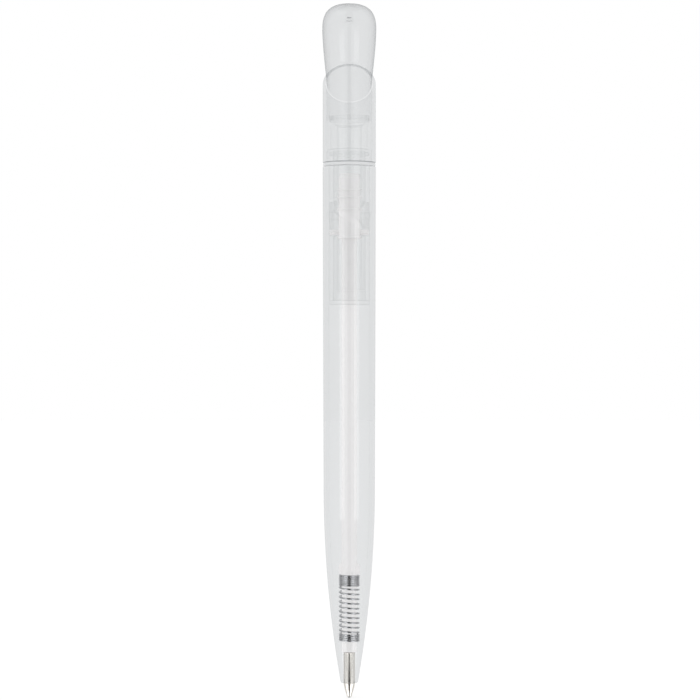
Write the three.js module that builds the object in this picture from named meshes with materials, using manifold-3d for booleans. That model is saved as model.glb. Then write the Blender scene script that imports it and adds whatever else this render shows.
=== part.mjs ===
// A twist-action ballpoint pen with a clear round barrel, upright, with its point out as it writes.
// Millimetres. +Z runs up the pen's axis, the origin is the lowest point of the writing ball,
// and the high side of the slanted seam faces -Y.

import * as THREE from 'three';
import { mergeVertices } from 'three/addons/utils/BufferGeometryUtils.js';
import Module from 'manifold-3d';

// Play between pieces

const TURN_GAP = 0.07; // beside a face that turns in or on another
const SLIDE_GAP = 0.1; // beside a face that slides in another
const PRESS_GAP = 0.04; // beside a face that is pressed, glued or clipped into another
const FACE_GAP = 0.05; // between end faces that meet
const SEAM_GAP = 0.3; // across the slanted seam, square to it
const LUG_GAP = 0.2; // round a lug in its slot or notch, and beside the snap bead

// Writing ball and nib

const BALL_DIAMETER = 1.0;
const BALL_SHOWS = 0.2; // height of the ball below the nib's rim
const BALL_PLAY = 0.04;
const BALL_SEAT_ARC = 40; // degrees of the seat above the ball's middle
const NIB_RIM_WALL = 0.08;
const NIB_CONE_LENGTH = 2.7;
const NIB_CONE_BULGE = 0.07; // how far the cone swells past a straight one
const SHANK_DIAMETER = 2.4;
const SHANK_TOP = 9.4; // height of the shoulder on which the refill tube sits
const SPIGOT_LENGTH = 3.6; // the part of the nib inside the refill tube
const INK_HOLE_DIAMETER = 0.7;

// Refill

const REFILL_LENGTH = 106.8; // from the ball to the tail
const REFILL_DIAMETER = 3.1;
const REFILL_BORE = 2.1;
const GREASE_LENGTH = 4;
const EMPTY_BORE = 20.7; // from the refill's tail down to the grease
const EAR_HEIGHT = 25.6; // underside of the ears, which carry the spring
const EAR_LENGTH = 2.2; // along the tube
const EAR_THICKNESS = 0.6;
const EAR_SPAN = 4.4; // across both ears
const STROKE = 5.5; // how far the refill goes back

// Return spring, as it stands with the point out

const SPRING_DIAMETER = 4.4;
const WIRE_DIAMETER = 0.38;
const CLOSE_CURLS = 3; // close curls at each end
const OPEN_CURLS = 8;
const CLOSE_PITCH = 0.8;
const SPRING_SEAT_GAP = 0.1; // at each end of the spring

// Lower barrel

const NIB_OUT = 3.1; // height of the nose's end above the ball's lowest point
const NOSE_END_DIAMETER = 3.54;
const NOSE_EDGE = 0.2; // rounding of the nose's rim
const NOSE_BORE_STEP = 8.7; // height where the nose bore widens for the refill tube
const SPRING_SEAT = 11.4; // height of the ledge under the spring
const SPRING_ROOM = 0.25; // beside the spring at its seat
const TAPER_LENGTH = 40;
const TAPER_TOP_DIAMETER = 10.61;
const JOINT_DIAMETER = 10.98; // of the lower barrel at the ring joint
const WALL = 1.05;
const SLEEVE_BORE = 8.8; // of the lower barrel where the sleeve sits
const TAIL_TO_JOINT = 2.9; // from the refill's tail up to the joint

// Ring joint

const RING_THICKNESS = 0.5;
const RING_DIAMETER = 10.7;
const COLLAR_LENGTH = 3.3; // part of the sleeve above the joint, on which the upper barrel turns

// Guide sleeve and its end cap

const SLEEVE_DEPTH = 28.7; // from the joint down to the end cap's lower face
const SLEEVE_WALL = 0.85;
const SLEEVE_PLAY = 0.15;
const BEAD_DEPTH = 10.1; // from the joint down to the snap bead
const BEAD_HEIGHT = 0.7;
const BEAD_SWELL = 0.25;
const END_CAP_FLANGE = 0.9;
const END_CAP_PLUG = 2.0;
const END_CAP_WALL_GAP = 0.2; // round the refill in the end cap

// Brake ring

const BRAKE_SECTION = 0.72;
const BRAKE_ROOM = 1.2; // height of its pocket in the collar

// Refill carrier

const CARRIER_LENGTH = 13.4;
const CARRIER_ROOF = 1.3;
const CARRIER_DIAMETER = 4.4;
const RIB_DIAMETER = 5.0;
const RIB_HEIGHT = 0.5;
const RIB_DROPS = [3.1, 4.6, 7.1]; // from the carrier's top down to its ribs
const FOOT_HEIGHT = 0.6; // of the carrier's lowest rib
const VENT_DIAMETER = 0.8;
const LUG_DIAMETER = 1.1;
const LUG_RISE = 1.3; // from the carrier's lower end up to the lugs' middle
const LUG_INSET = 0.2; // how far the lugs stay inside the sleeve's outer face

// Spiral drive

const DRIVE_BORE = 5.2;
const DRIVE_TWIST = 180; // degrees that take the refill through its stroke
const DRIVE_FOOT_GAP = 0.3; // above the end cap
const HEAD_DIAMETER = 7.9;
const HEAD_HEIGHT = 5.4;
const CASTLE_HEIGHT = 1.5; // of the rim that carries the six lugs
const CASTLE_WALL = 0.65;
const DRIVE_LUGS = 6;
const DRIVE_LUG_WIDTH = 0.9;
const DRIVE_LUG_HEIGHT = 1.05;
const DRIVE_LUG_INSET = 0.15; // from the upper barrel's bore

// Upper barrel and crown

const UPPER_DIAMETER = 10.96;
const UPPER_WALL = 0.73;
const SEAM_RISE = 16.3; // from the upper barrel's lower end up to the seam's middle
const SEAM_SLOPE = 34; // degrees
const CROWN_RISE = 16.6; // from the seam's middle up to the top
const CROWN_DIAMETER = 11.14;
const DOME_HEIGHT = 5.4;
const DOME_POWER = 2.7; // squareness of the dome's curve
const CROWN_TAPER = 0.027; // how fast the crown narrows below its widest place
const CROWN_TAPER_POWER = 1.5;
const CROWN_WALL = 0.53; // at the neck
const CROWN_ROOF = 3.5; // thickness of the domed top
const ROOF_CORNER = 1.4;
const SPIGOT_DROP = 7.6; // from the seam's middle down to the spigot's end
const DIMPLE_DIAMETER = 1.05; // mark in the middle of the crown's roof
const DIMPLE_DEPTH = 1.1;

// Sides of the round pieces, and steps along the curves

const ROUND = 48;
const FINE_ROUND = 24;
const BALL_ROUND = 16;
const LUG_ROUND = 12;
const BRAKE_ROUND = 8; // of the brake ring's section
const WIRE_ROUND = 5;
const CURL_STEPS = 8;
const TAPER_STEPS = 12;
const CHAMBER_STEPS = 8;
const NECK_STEPS = 8;
const DOME_STEPS = 9;
const SLOT_STEPS = 18;
const CONE_STEPS = 5;
const CORNER_STEPS = 3;

// Modelling margins

const CUT_MARGIN = 0.4; // how far a slot's cutter reaches past the wall
const MERGE_DISTANCE = 1e-5;

// Heights of what meets, worked out from the sizes above

const JOINT = REFILL_LENGTH + TAIL_TO_JOINT;
const UPPER_FOOT = JOINT + RING_THICKNESS + 2 * FACE_GAP;
const COLLAR_TOP = JOINT + FACE_GAP + COLLAR_LENGTH;
const SLEEVE_FOOT = JOINT - SLEEVE_DEPTH;
const END_CAP_TOP = SLEEVE_FOOT + END_CAP_FLANGE + END_CAP_PLUG;
const CARRIER_TOP = REFILL_LENGTH + FACE_GAP + CARRIER_ROOF;
const CARRIER_FOOT = CARRIER_TOP - CARRIER_LENGTH;
const LUG_HEIGHT = CARRIER_FOOT + LUG_RISE;
const GREASE_FOOT = REFILL_LENGTH - EMPTY_BORE - GREASE_LENGTH;
const INK_TOP = GREASE_FOOT - FACE_GAP;
const SEAM = UPPER_FOOT + SEAM_RISE;
const CROWN_TOP = SEAM + CROWN_RISE;
const WIDEST = CROWN_TOP - DOME_HEIGHT;
const SPIGOT_FOOT = SEAM - SPIGOT_DROP;
const HEAD_FOOT = COLLAR_TOP + FACE_GAP;
const HEAD_TOP = HEAD_FOOT + HEAD_HEIGHT;

// Radii of what fits

const SHANK_RADIUS = SHANK_DIAMETER / 2;
const REFILL_RADIUS = REFILL_DIAMETER / 2;
const SPRING_RADIUS = (SPRING_DIAMETER - WIRE_DIAMETER) / 2;
const UPPER_BORE_RADIUS = UPPER_DIAMETER / 2 - UPPER_WALL;
const SLEEVE_RADIUS = SLEEVE_BORE / 2 - SLEEVE_PLAY;
const SLEEVE_BORE_RADIUS = SLEEVE_RADIUS - SLEEVE_WALL;
const COLLAR_RADIUS = UPPER_BORE_RADIUS - TURN_GAP;
const DRIVE_RADIUS = SLEEVE_BORE_RADIUS - SLIDE_GAP;
const NECK_RADIUS = UPPER_BORE_RADIUS - PRESS_GAP;
const CROWN_BORE_RADIUS = NECK_RADIUS - CROWN_WALL;

const wasm = await Module();
wasm.setup();

// Solids from closed geometries, and back

function toSolid(geometry) {
  const bare = geometry.clone();
  bare.deleteAttribute('normal');
  bare.deleteAttribute('uv');
  const merged = mergeVertices(bare, MERGE_DISTANCE);
  const corners = merged.index.array;
  const points = merged.attributes.position;
  const triVerts = [];
  let volume = 0;
  const [a, b, c] = [new THREE.Vector3(), new THREE.Vector3(), new THREE.Vector3()];
  for (let i = 0; i < corners.length; i += 3) {
    const [p, q, r] = corners.slice(i, i + 3);
    if (p === q || q === r || r === p) continue;
    triVerts.push(p, q, r);
    a.fromBufferAttribute(points, p);
    b.fromBufferAttribute(points, q);
    c.fromBufferAttribute(points, r);
    volume += a.dot(b.cross(c));
  }
  if (volume < 0) triVerts.reverse();
  return new wasm.Manifold(new wasm.Mesh({
    numProp: 3,
    vertProperties: Float32Array.from(points.array),
    triVerts: Uint32Array.from(triVerts),
  }));
}

function toGeometry(solid) {
  const mesh = solid.getMesh();
  const geometry = new THREE.BufferGeometry();
  geometry.setAttribute('position', new THREE.BufferAttribute(Float32Array.from(mesh.vertProperties), 3));
  geometry.setIndex(Array.from(mesh.triVerts));
  geometry.computeVertexNormals();
  return geometry;
}

// A solid turned about Z from [radius, height] points. A solid profile starts and ends on the axis.
function turned(profile, sides = ROUND) {
  const points = profile.map(([radius, height]) => new THREE.Vector2(radius, height));
  return toSolid(new THREE.LatheGeometry(points, sides).rotateX(Math.PI / 2));
}

// A turned solid with a hole: its profile closes on itself.
function turnedRing(profile, sides = ROUND) {
  return turned([...profile, profile[0]], sides);
}

function cylinder(radius, low, high, sides = ROUND) {
  return turned([[0, low], [radius, low], [radius, high], [0, high]], sides);
}

// A box that reaches from one radius to another at a bearing in degrees, counted from +X.
function radialBox(inner, outer, width, low, high, bearing) {
  const box = new THREE.BoxGeometry(outer - inner, width, high - low);
  box.translate((inner + outer) / 2, 0, (low + high) / 2);
  box.rotateZ(THREE.MathUtils.degToRad(bearing));
  return toSolid(box);
}

// Half of space beyond the seam's plane, moved along its normal. Side 1 is above and -1 below.
function beyondSeam(side) {
  const size = 6 * UPPER_DIAMETER;
  const box = new THREE.BoxGeometry(size, size, size);
  box.translate(0, 0, side * (size + SEAM_GAP) / 2);
  box.rotateX(-THREE.MathUtils.degToRad(SEAM_SLOPE));
  box.translate(0, 0, SEAM);
  return toSolid(box);
}

// Sections that several pieces use

// Outer radius of the lower barrel at a height: a slim cone, and a parabola down to the nose.
function barrelRadius(height) {
  const taperTop = NIB_OUT + TAPER_LENGTH;
  const draft = (JOINT_DIAMETER - TAPER_TOP_DIAMETER) / 2 / (JOINT - taperTop);
  const along = height - taperTop;
  const cone = TAPER_TOP_DIAMETER / 2 + draft * along;
  if (along >= 0) return cone;
  const drop = TAPER_TOP_DIAMETER / 2 - draft * TAPER_LENGTH - NOSE_END_DIAMETER / 2;
  return cone - drop * (along / TAPER_LENGTH) ** 2;
}

// Outer radius of the crown: the taper below its widest place, down to its neck.
function crownRadius(height) {
  const taper = CROWN_DIAMETER / 2 - CROWN_TAPER * (WIDEST - height) ** CROWN_TAPER_POWER;
  return Math.max(taper, NECK_RADIUS);
}

// Evenly spaced values from one number to another, both included.
function steps(from, to, count) {
  return Array.from({ length: count + 1 }, (_, i) => from + (to - from) * i / count);
}

// The refill

function writingBall() {
  const radius = BALL_DIAMETER / 2;
  const sphere = new THREE.SphereGeometry(radius, BALL_ROUND, BALL_ROUND * 3 / 4);
  return toSolid(sphere.rotateX(Math.PI / 2).translate(0, 0, radius));
}

function nib() {
  const ballRadius = BALL_DIAMETER / 2;
  const seatRadius = ballRadius + BALL_PLAY;
  const rimRadius = Math.sqrt(seatRadius ** 2 - (ballRadius - BALL_SHOWS) ** 2);
  const tipRadius = rimRadius + NIB_RIM_WALL;
  const cone = steps(1, 0, CONE_STEPS).map((t) => [
    tipRadius + (SHANK_RADIUS - tipRadius) * t + 4 * NIB_CONE_BULGE * t * (1 - t),
    BALL_SHOWS + NIB_CONE_LENGTH * t,
  ]);
  const inkHole = INK_HOLE_DIAMETER / 2;
  const top = SHANK_TOP + SPIGOT_LENGTH;
  const spigot = REFILL_BORE / 2 - PRESS_GAP;
  const seat = steps(0, BALL_SEAT_ARC, 2).map((angle) => {
    const turn = THREE.MathUtils.degToRad(angle);
    return [seatRadius * Math.cos(turn), ballRadius + seatRadius * Math.sin(turn)];
  });
  return turnedRing([
    [rimRadius, BALL_SHOWS],
    ...seat,
    [inkHole, ballRadius + seatRadius],
    [inkHole, top],
    [spigot, top],
    [spigot, SHANK_TOP],
    [SHANK_RADIUS, SHANK_TOP],
    ...cone,
  ], FINE_ROUND);
}

function refillTube() {
  const bore = REFILL_BORE / 2;
  const foot = SHANK_TOP + FACE_GAP;
  let tube = turnedRing([
    [bore, foot],
    [REFILL_RADIUS, foot],
    [REFILL_RADIUS, REFILL_LENGTH],
    [bore, REFILL_LENGTH],
  ], FINE_ROUND);
  const inner = (bore + REFILL_RADIUS) / 2;
  for (const bearing of [0, 180]) {
    const ear = radialBox(inner, EAR_SPAN / 2, EAR_THICKNESS, EAR_HEIGHT, EAR_HEIGHT + EAR_LENGTH, bearing);
    tube = tube.add(ear);
  }
  return tube;
}

function inkColumn() {
  return cylinder(REFILL_BORE / 2 - PRESS_GAP, SHANK_TOP + SPIGOT_LENGTH + FACE_GAP, INK_TOP, FINE_ROUND);
}

function greaseFollower() {
  return cylinder(REFILL_BORE / 2 - PRESS_GAP, GREASE_FOOT, GREASE_FOOT + GREASE_LENGTH, FINE_ROUND);
}

// Cup on the refill's tail: a foot and ribs run in the drive, and two lugs reach out through both slots.
function refillCarrier() {
  const body = CARRIER_DIAMETER / 2;
  const rib = RIB_DIAMETER / 2;
  const bore = REFILL_RADIUS + PRESS_GAP;
  const roof = CARRIER_TOP - CARRIER_ROOF;
  const vent = VENT_DIAMETER / 2;
  const ribs = RIB_DROPS.flatMap((drop) => {
    const top = CARRIER_TOP - drop;
    return [[body, top], [rib, top], [rib, top - RIB_HEIGHT], [body, top - RIB_HEIGHT]];
  });
  const footTop = CARRIER_FOOT + FOOT_HEIGHT;
  let carrier = turnedRing([
    [bore, CARRIER_FOOT],
    [bore, roof],
    [vent, roof],
    [vent, CARRIER_TOP],
    [body, CARRIER_TOP],
    ...ribs,
    [body, footTop],
    [rib, footTop],
    [rib, CARRIER_FOOT],
  ], FINE_ROUND);
  const root = (bore + body) / 2;
  const tip = SLEEVE_RADIUS - LUG_INSET;
  for (const turn of [0, Math.PI]) {
    const lug = new THREE.CylinderGeometry(LUG_DIAMETER / 2, LUG_DIAMETER / 2, tip - root, LUG_ROUND);
    lug.rotateZ(Math.PI / 2).translate((root + tip) / 2, 0, LUG_HEIGHT).rotateZ(turn);
    carrier = carrier.add(toSolid(lug));
  }
  return carrier;
}

// The lower part

function lowerBarrel() {
  const taperTop = NIB_OUT + TAPER_LENGTH;
  const bore = SLEEVE_BORE / 2;
  const chamber = SPRING_DIAMETER / 2 + SPRING_ROOM;
  const boreAt = (height) => Math.min(bore, Math.max(chamber, barrelRadius(height) - WALL));
  const outside = [
    JOINT,
    ...steps(taperTop, NIB_OUT + NOSE_EDGE, TAPER_STEPS),
  ].map((height) => [barrelRadius(height), height]);
  const inside = steps(SPRING_SEAT, taperTop, CHAMBER_STEPS).map((height) => [boreAt(height), height]);
  const bead = JOINT - BEAD_DEPTH;
  const groove = bore + BEAD_SWELL;
  const grooveHalf = BEAD_HEIGHT / 2 + LUG_GAP;
  const nibBore = SHANK_RADIUS + SLIDE_GAP;
  const tubeBore = REFILL_RADIUS + SLIDE_GAP;
  return turnedRing([
    [nibBore, NIB_OUT],
    [nibBore, NOSE_BORE_STEP],
    [tubeBore, NOSE_BORE_STEP],
    [tubeBore, SPRING_SEAT],
    ...inside,
    [bore, bead - grooveHalf - BEAD_SWELL],
    [groove, bead - grooveHalf],
    [groove, bead + grooveHalf],
    [bore, bead + grooveHalf + BEAD_SWELL],
    [bore, JOINT],
    ...outside,
    [barrelRadius(NIB_OUT) - NOSE_EDGE, NIB_OUT],
  ]);
}

function centreRing() {
  const foot = JOINT + FACE_GAP;
  const inner = COLLAR_RADIUS + TURN_GAP;
  const outer = RING_DIAMETER / 2;
  return turnedRing([
    [inner, foot],
    [outer, foot],
    [outer, foot + RING_THICKNESS],
    [inner, foot + RING_THICKNESS],
  ]);
}

function guideSleeve() {
  const foot = SLEEVE_FOOT + END_CAP_FLANGE + FACE_GAP;
  const bead = JOINT - BEAD_DEPTH;
  const shelf = JOINT + FACE_GAP;
  const pocket = DRIVE_RADIUS + BRAKE_SECTION + 2 * PRESS_GAP;
  const pocketFoot = COLLAR_TOP - BRAKE_ROOM;
  let sleeve = turnedRing([
    [SLEEVE_BORE_RADIUS, foot],
    [SLEEVE_BORE_RADIUS, pocketFoot],
    [pocket, pocketFoot],
    [pocket, COLLAR_TOP],
    [COLLAR_RADIUS, COLLAR_TOP],
    [COLLAR_RADIUS, shelf],
    [SLEEVE_RADIUS, shelf],
    [SLEEVE_RADIUS, bead + BEAD_HEIGHT / 2 + BEAD_SWELL],
    [SLEEVE_RADIUS + BEAD_SWELL, bead + BEAD_HEIGHT / 2],
    [SLEEVE_RADIUS + BEAD_SWELL, bead - BEAD_HEIGHT / 2],
    [SLEEVE_RADIUS, bead - BEAD_HEIGHT / 2 - BEAD_SWELL],
    [SLEEVE_RADIUS, foot],
  ]);
  const half = LUG_DIAMETER / 2 + LUG_GAP;
  for (const bearing of [0, 180]) {
    sleeve = sleeve.subtract(radialBox(
      SLEEVE_BORE_RADIUS - CUT_MARGIN, SLEEVE_RADIUS + CUT_MARGIN, 2 * half,
      LUG_HEIGHT - half, LUG_HEIGHT + STROKE + half, bearing,
    ));
  }
  return sleeve;
}

function sleeveEndCap() {
  const hole = REFILL_RADIUS + END_CAP_WALL_GAP;
  const flangeTop = SLEEVE_FOOT + END_CAP_FLANGE;
  const plug = SLEEVE_BORE_RADIUS - PRESS_GAP;
  return turnedRing([
    [hole, SLEEVE_FOOT],
    [SLEEVE_RADIUS, SLEEVE_FOOT],
    [SLEEVE_RADIUS, flangeTop],
    [plug, flangeTop],
    [plug, END_CAP_TOP],
    [hole, END_CAP_TOP],
  ]);
}

function brakeRing() {
  const middle = DRIVE_RADIUS + PRESS_GAP + BRAKE_SECTION / 2;
  const height = COLLAR_TOP - BRAKE_ROOM + FACE_GAP + BRAKE_SECTION / 2;
  return turnedRing(steps(0, 360, BRAKE_ROUND).slice(1).map((angle) => {
    const turn = THREE.MathUtils.degToRad(angle);
    return [
      middle + BRAKE_SECTION / 2 * Math.cos(turn),
      height + BRAKE_SECTION / 2 * Math.sin(turn),
    ];
  }));
}

// The spring's centre line, wound to the left: close curls at both ends, open ones between, and ends
// that turn up and down and run straight for one wire diameter.
function springLine() {
  const foot = SPRING_SEAT + SPRING_SEAT_GAP;
  const head = EAR_HEIGHT - SPRING_SEAT_GAP;
  const bend = WIRE_DIAMETER;
  const low = foot + WIRE_DIAMETER + bend;
  const high = head - WIRE_DIAMETER - bend;
  const curls = 2 * CLOSE_CURLS + OPEN_CURLS;
  const openPitch = (high - low - 2 * CLOSE_CURLS * CLOSE_PITCH) / OPEN_CURLS;
  const climb = (curl) => {
    const below = Math.min(curl, CLOSE_CURLS);
    const open = THREE.MathUtils.clamp(curl - CLOSE_CURLS, 0, OPEN_CURLS);
    const above = Math.max(curl - CLOSE_CURLS - OPEN_CURLS, 0);
    return (below + above) * CLOSE_PITCH + open * openPitch;
  };
  const helix = steps(0, curls, curls * CURL_STEPS).map((curl) => {
    const turn = -2 * Math.PI * curl;
    const height = low + climb(curl);
    return new THREE.Vector3(SPRING_RADIUS * Math.cos(turn), SPRING_RADIUS * Math.sin(turn), height);
  });
  // One end: from the helix a quarter bend, and then the straight run along Z.
  const end = (start, heading, way) => {
    const points = [30, 60, 90].map((angle) => {
      const turn = THREE.MathUtils.degToRad(angle);
      return start.clone()
        .addScaledVector(heading, bend * Math.sin(turn))
        .add(new THREE.Vector3(0, 0, way * bend * (1 - Math.cos(turn))));
    });
    return [...points, points[2].clone().add(new THREE.Vector3(0, 0, way * WIRE_DIAMETER))];
  };
  const bottom = end(helix[0], new THREE.Vector3(0, 1, 0), -1);
  const top = end(helix[helix.length - 1], new THREE.Vector3(0, -1, 0), 1);
  return [...bottom.reverse(), ...helix, ...top];
}

// The least gap between two stretches of wire that aren't next to each other.
function leastGap(line) {
  let least = Infinity;
  for (let i = 0; i < line.length; i += 1) {
    for (let j = i + CURL_STEPS / 2; j < line.length; j += 1) {
      least = Math.min(least, line[i].distanceTo(line[j]));
    }
  }
  return least - WIRE_DIAMETER;
}

// A faceted wire swept along a line, with flat ends.
function sweptWire(line, radius) {
  const sides = WIRE_ROUND;
  const positions = [];
  const index = [];
  let across = new THREE.Vector3(1, 0, 0);
  line.forEach((point, i) => {
    const before = line[Math.max(i - 1, 0)];
    const after = line[Math.min(i + 1, line.length - 1)];
    const along = after.clone().sub(before).normalize();
    across = across.clone().addScaledVector(along, -across.dot(along)).normalize();
    const up = along.clone().cross(across);
    for (let side = 0; side < sides; side += 1) {
      const turn = 2 * Math.PI * side / sides;
      const corner = point.clone()
        .addScaledVector(across, radius * Math.cos(turn))
        .addScaledVector(up, radius * Math.sin(turn));
      positions.push(corner.x, corner.y, corner.z);
    }
  });
  for (let ring = 0; ring < line.length - 1; ring += 1) {
    for (let side = 0; side < sides; side += 1) {
      const a = ring * sides + side;
      const b = ring * sides + (side + 1) % sides;
      index.push(a, b, b + sides, a, b + sides, a + sides);
    }
  }
  const last = (line.length - 1) * sides;
  for (let side = 1; side < sides - 1; side += 1) {
    index.push(0, side + 1, side, last, last + side, last + side + 1);
  }
  const geometry = new THREE.BufferGeometry();
  geometry.setAttribute('position', new THREE.Float32BufferAttribute(positions, 3));
  geometry.setIndex(index);
  return geometry;
}

function returnSpring() {
  const line = springLine();
  console.log(`return_spring: least gap to itself ${leastGap(line).toFixed(3)} mm`);
  return toSolid(sweptWire(line, WIRE_DIAMETER / 2));
}

// The upper part

function upperBarrel() {
  const tall = SEAM + UPPER_DIAMETER;
  const tube = turnedRing([
    [UPPER_BORE_RADIUS, UPPER_FOOT],
    [UPPER_DIAMETER / 2, UPPER_FOOT],
    [UPPER_DIAMETER / 2, tall],
    [UPPER_BORE_RADIUS, tall],
  ]);
  return tube.intersect(beyondSeam(-1));
}

function crown() {
  const dome = steps(0, 90, DOME_STEPS).map((angle) => {
    const turn = THREE.MathUtils.degToRad(angle);
    return [
      CROWN_DIAMETER / 2 * Math.sin(turn) ** (2 / DOME_POWER),
      WIDEST + DOME_HEIGHT * Math.cos(turn) ** (2 / DOME_POWER),
    ];
  });
  const foot = SEAM - UPPER_DIAMETER;
  const taper = steps(WIDEST, SEAM - UPPER_DIAMETER / 2, NECK_STEPS).slice(1)
    .map((height) => [crownRadius(height), height]);
  const outside = turned([[0, CROWN_TOP], ...dome.slice(1), ...taper, [NECK_RADIUS, foot], [0, foot]]);
  const spigot = cylinder(NECK_RADIUS, SPIGOT_FOOT, WIDEST);
  const roof = CROWN_TOP - CROWN_ROOF;
  const corner = steps(0, 90, CORNER_STEPS).map((angle) => {
    const turn = THREE.MathUtils.degToRad(angle);
    return [
      CROWN_BORE_RADIUS - ROOF_CORNER * (1 - Math.sin(turn)),
      roof - ROOF_CORNER * (1 - Math.cos(turn)),
    ];
  });
  const dimple = DIMPLE_DIAMETER / 2;
  const hollow = turned([
    [0, roof + DIMPLE_DEPTH],
    [dimple, roof + DIMPLE_DEPTH],
    [dimple, roof],
    ...corner,
    [CROWN_BORE_RADIUS, foot],
    [0, foot],
  ]);
  let piece = outside.intersect(beyondSeam(1)).add(spigot).subtract(hollow);
  for (const bearing of driveBearings()) {
    piece = piece.subtract(radialBox(
      HEAD_DIAMETER / 2, UPPER_DIAMETER / 2, DRIVE_LUG_WIDTH + 2 * LUG_GAP,
      foot, HEAD_TOP + CASTLE_HEIGHT + LUG_GAP, bearing,
    ));
  }
  return piece;
}

// Bearings of the drive's lugs, one of them at the front.
function driveBearings() {
  return Array.from({ length: DRIVE_LUGS }, (_, i) => -90 + 360 * i / DRIVE_LUGS);
}

// One spiral slot through the drive's wall. It starts at a bearing in degrees and climbs the stroke
// while it goes back round through the drive's twist, and it is longer than that by a lug at both ends.
function spiralSlot(bearing) {
  const inner = DRIVE_BORE / 2 - CUT_MARGIN;
  const outer = DRIVE_RADIUS + CUT_MARGIN;
  const half = LUG_DIAMETER / 2 + LUG_GAP;
  const slant = Math.atan(STROKE / (Math.PI * DRIVE_RADIUS * DRIVE_TWIST / 180));
  const halfHeight = half / Math.cos(slant);
  const over = THREE.MathUtils.radToDeg(half / (DRIVE_BORE / 2)) / DRIVE_TWIST;
  const positions = [];
  const index = [];
  const rows = steps(-over, 1 + over, SLOT_STEPS);
  for (const t of rows) {
    const turn = THREE.MathUtils.degToRad(bearing - DRIVE_TWIST * t);
    const height = LUG_HEIGHT + STROKE * t;
    for (const [radius, rise] of [[inner, -1], [outer, -1], [outer, 1], [inner, 1]]) {
      positions.push(radius * Math.cos(turn), radius * Math.sin(turn), height + rise * halfHeight);
    }
  }
  for (let row = 0; row < rows.length - 1; row += 1) {
    for (let side = 0; side < 4; side += 1) {
      const a = row * 4 + side;
      const b = row * 4 + (side + 1) % 4;
      index.push(a, b, b + 4, a, b + 4, a + 4);
    }
  }
  const last = (rows.length - 1) * 4;
  index.push(0, 2, 1, 0, 3, 2, last, last + 1, last + 2, last, last + 2, last + 3);
  const geometry = new THREE.BufferGeometry();
  geometry.setAttribute('position', new THREE.Float32BufferAttribute(positions, 3));
  geometry.setIndex(index);
  return toSolid(geometry);
}

// Tube that turns inside the guide sleeve, with a head above the collar and six lugs in the crown.
function spiralDrive() {
  const bore = DRIVE_BORE / 2;
  const head = HEAD_DIAMETER / 2;
  const castle = head - CASTLE_WALL;
  const rim = HEAD_TOP + CASTLE_HEIGHT;
  const foot = END_CAP_TOP + DRIVE_FOOT_GAP;
  let drive = turnedRing([
    [bore, foot],
    [bore, HEAD_TOP - (castle - bore)],
    [castle, HEAD_TOP],
    [castle, rim],
    [head, rim],
    [head, HEAD_FOOT],
    [DRIVE_RADIUS, HEAD_FOOT],
    [DRIVE_RADIUS, foot],
  ]);
  drive = drive.subtract(spiralSlot(0)).subtract(spiralSlot(180));
  for (const bearing of driveBearings()) {
    drive = drive.add(radialBox(
      head - CASTLE_WALL / 2, UPPER_BORE_RADIUS - DRIVE_LUG_INSET, DRIVE_LUG_WIDTH,
      rim - DRIVE_LUG_HEIGHT, rim, bearing,
    ));
  }
  return drive;
}

// Materials

const clear = { color: 0xdfe2e6, roughness: 0.08, metalness: 0, transparent: true, opacity: 0.35 };
const materials = {
  clearBody: clear,
  clearInner: { ...clear, color: 0xd3d6da },
  white: { color: 0xeeecea, roughness: 0.4, metalness: 0 },
  pale: { color: 0xd8dadd, roughness: 0.35, metalness: 0 },
  rubber: { color: 0x9a9c9f, roughness: 0.8, metalness: 0 },
  steel: { color: 0xb9bbbe, roughness: 0.22, metalness: 1 },
  nickelSilver: { color: 0xcabfae, roughness: 0.25, metalness: 1 },
  ball: { color: 0x8d8f93, roughness: 0.15, metalness: 1 },
  ink: { color: 0x1a2450, roughness: 0.3, metalness: 0 },
  grease: { color: 0xd9cfa8, roughness: 0.3, metalness: 0 },
};

const pieces = [
  ['crown', crown, 'clearBody'],
  ['upper_barrel', upperBarrel, 'clearBody'],
  ['spiral_drive', spiralDrive, 'clearInner'],
  ['lower_barrel', lowerBarrel, 'clearBody'],
  ['centre_ring', centreRing, 'pale'],
  ['guide_sleeve', guideSleeve, 'clearInner'],
  ['sleeve_end_cap', sleeveEndCap, 'clearInner'],
  ['brake_ring', brakeRing, 'rubber'],
  ['return_spring', returnSpring, 'steel'],
  ['refill_carrier', refillCarrier, 'white'],
  ['refill_tube', refillTube, 'white'],
  ['nib', nib, 'nickelSilver'],
  ['writing_ball', writingBall, 'ball'],
  ['ink_column', inkColumn, 'ink'],
  ['grease_follower', greaseFollower, 'grease'],
];

const pen = new THREE.Group();
for (const [name, build, material] of pieces) {
  const mesh = new THREE.Mesh(toGeometry(build()), new THREE.MeshStandardMaterial(materials[material]));
  mesh.name = name;
  pen.add(mesh);
}

export default pen;
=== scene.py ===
"""A clear twist-action ballpoint pen on its point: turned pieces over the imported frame, and its studio.

Metres, Z up along the pen, origin at the writing ball's lowest point. The high side of the slanted
seam faces -Y, where the camera stands.
"""

import functools
import math

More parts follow.
